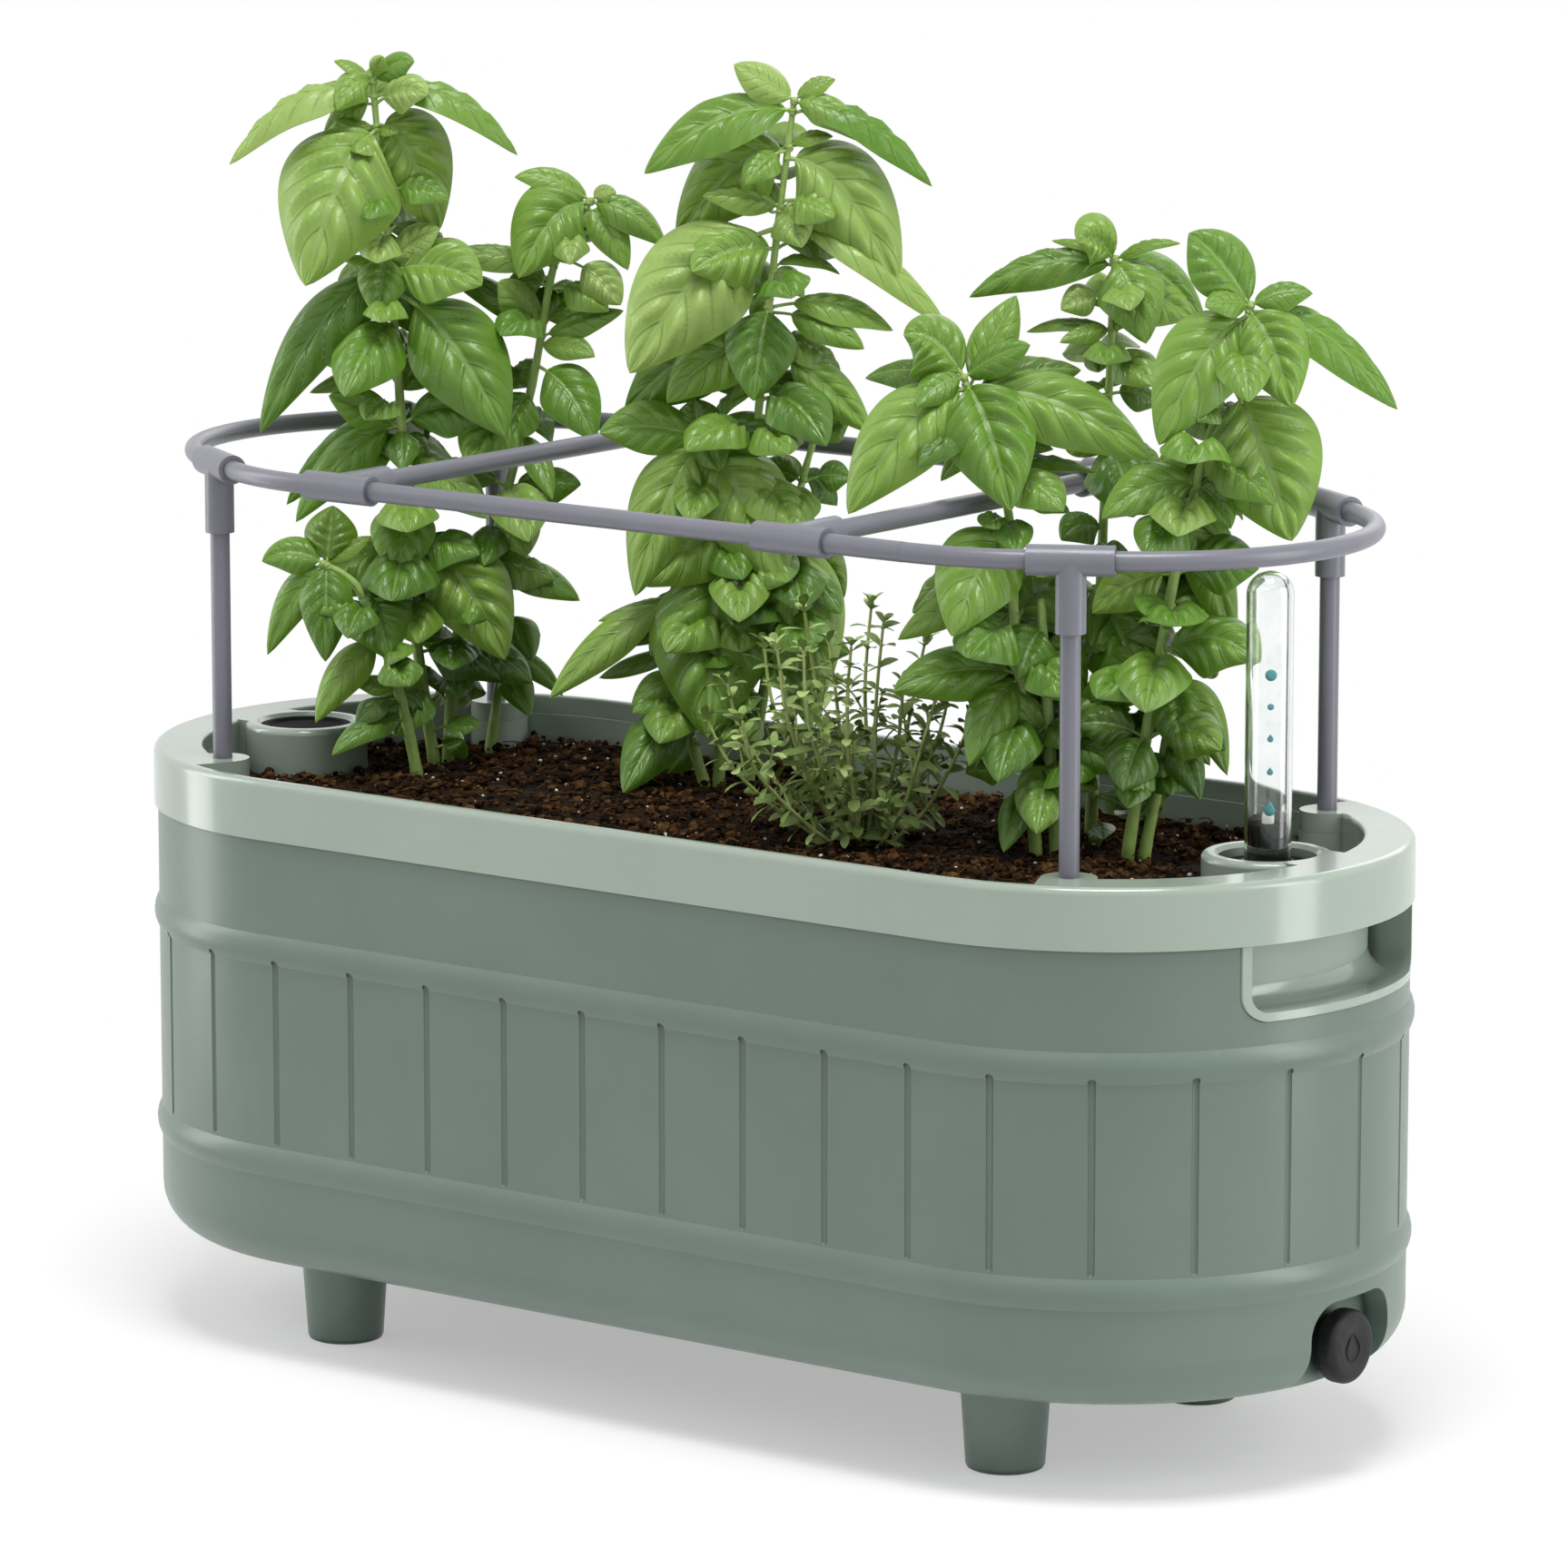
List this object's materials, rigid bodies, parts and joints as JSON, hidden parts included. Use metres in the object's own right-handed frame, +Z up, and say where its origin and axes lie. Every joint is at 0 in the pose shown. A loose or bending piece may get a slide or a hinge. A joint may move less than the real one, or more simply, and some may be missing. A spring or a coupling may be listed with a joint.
{
  "type": "self-watering herb planter",
  "caption": "Long self-watering herb planter: round-ended reservoir tub on short feet, lift-out planting liner with filler, float gauge and drain, and a tube trellis ring over basil and thyme.",
  "frame": {"origin": "On the floor, under the middle of the tub.", "axes": "+X along the planter towards the gauge and drain end, +Y towards the back, +Z up."},
  "size_m": [0.584, 0.244, 0.5321],
  "materials": {
    "tub_green": "satin",
    "liner_green": "gloss",
    "trellis_grey": "satin",
    "black_plastic": "satin",
    "black_rubber": "matte",
    "clear_plastic": "clear gloss",
    "float_white": "matte",
    "potting_soil": "loose and rough",
    "basil_green": "satin leaf",
    "thyme_green": "matte leaf"
  },
  "bodies": {
    "tub": {"outer_tub": "tub_green", "foot_front_left": "tub_green", "foot_front_right": "tub_green", "foot_back_left": "tub_green", "foot_back_right": "tub_green"},
    "drain": {"drain_plug": "black_rubber"},
    "liner": {"inner_liner": "liner_green", "liner_rim": "liner_green", "well_shaft_left": "liner_green", "well_shaft_right": "liner_green", "handle_cup_left": "liner_green", "handle_cup_right": "liner_green", "leg_front_left": "trellis_grey", "leg_front_right": "trellis_grey", "leg_back_left": "trellis_grey", "leg_back_right": "trellis_grey", "leg_tee_front_left": "trellis_grey", "leg_tee_front_right": "trellis_grey", "leg_tee_back_left": "trellis_grey", "leg_tee_back_right": "trellis_grey", "cross_tee_front_left": "trellis_grey", "cross_tee_front_right": "trellis_grey", "cross_tee_back_left": "trellis_grey", "cross_tee_back_right": "trellis_grey", "ring_front_left": "trellis_grey", "ring_front_middle": "trellis_grey", "ring_front_right": "trellis_grey", "ring_end_right": "trellis_grey", "ring_back_right": "trellis_grey", "ring_back_middle": "trellis_grey", "ring_back_left": "trellis_grey", "ring_end_left": "trellis_grey", "crossbar_left": "trellis_grey", "crossbar_right": "trellis_grey", "soil": "potting_soil", "basil_left": "basil_green", "basil_middle": "basil_green", "basil_right": "basil_green", "thyme": "thyme_green"},
    "cap": {"fill_cap": "black_plastic"},
    "gauge": {"gauge_lid": "black_plastic", "gauge_tube": "clear_plastic"},
    "float": {"gauge_float": "float_white", "gauge_rod": "float_white"}
  },
  "joints": [
    {"name": "liner_lift", "type": "slide", "parent": "tub", "child": "liner", "axis": [0, 0, 1], "range_m": [0, 0.2]},
    {"name": "drain_pull", "type": "slide", "parent": "tub", "child": "drain", "axis": [1, 0, 0], "range_m": [0, 0.03]},
    {"name": "cap_lift", "type": "slide", "parent": "liner", "child": "cap", "axis": [0, 0, 1], "range_m": [0, 0.03]},
    {"name": "gauge_lift", "type": "slide", "parent": "liner", "child": "gauge", "axis": [0, 0, 1], "range_m": [0, 0.03]},
    {"name": "float_rise", "type": "slide", "parent": "gauge", "child": "float", "axis": [0, 0, 1], "range_m": [0, 0.053]}
  ]
}
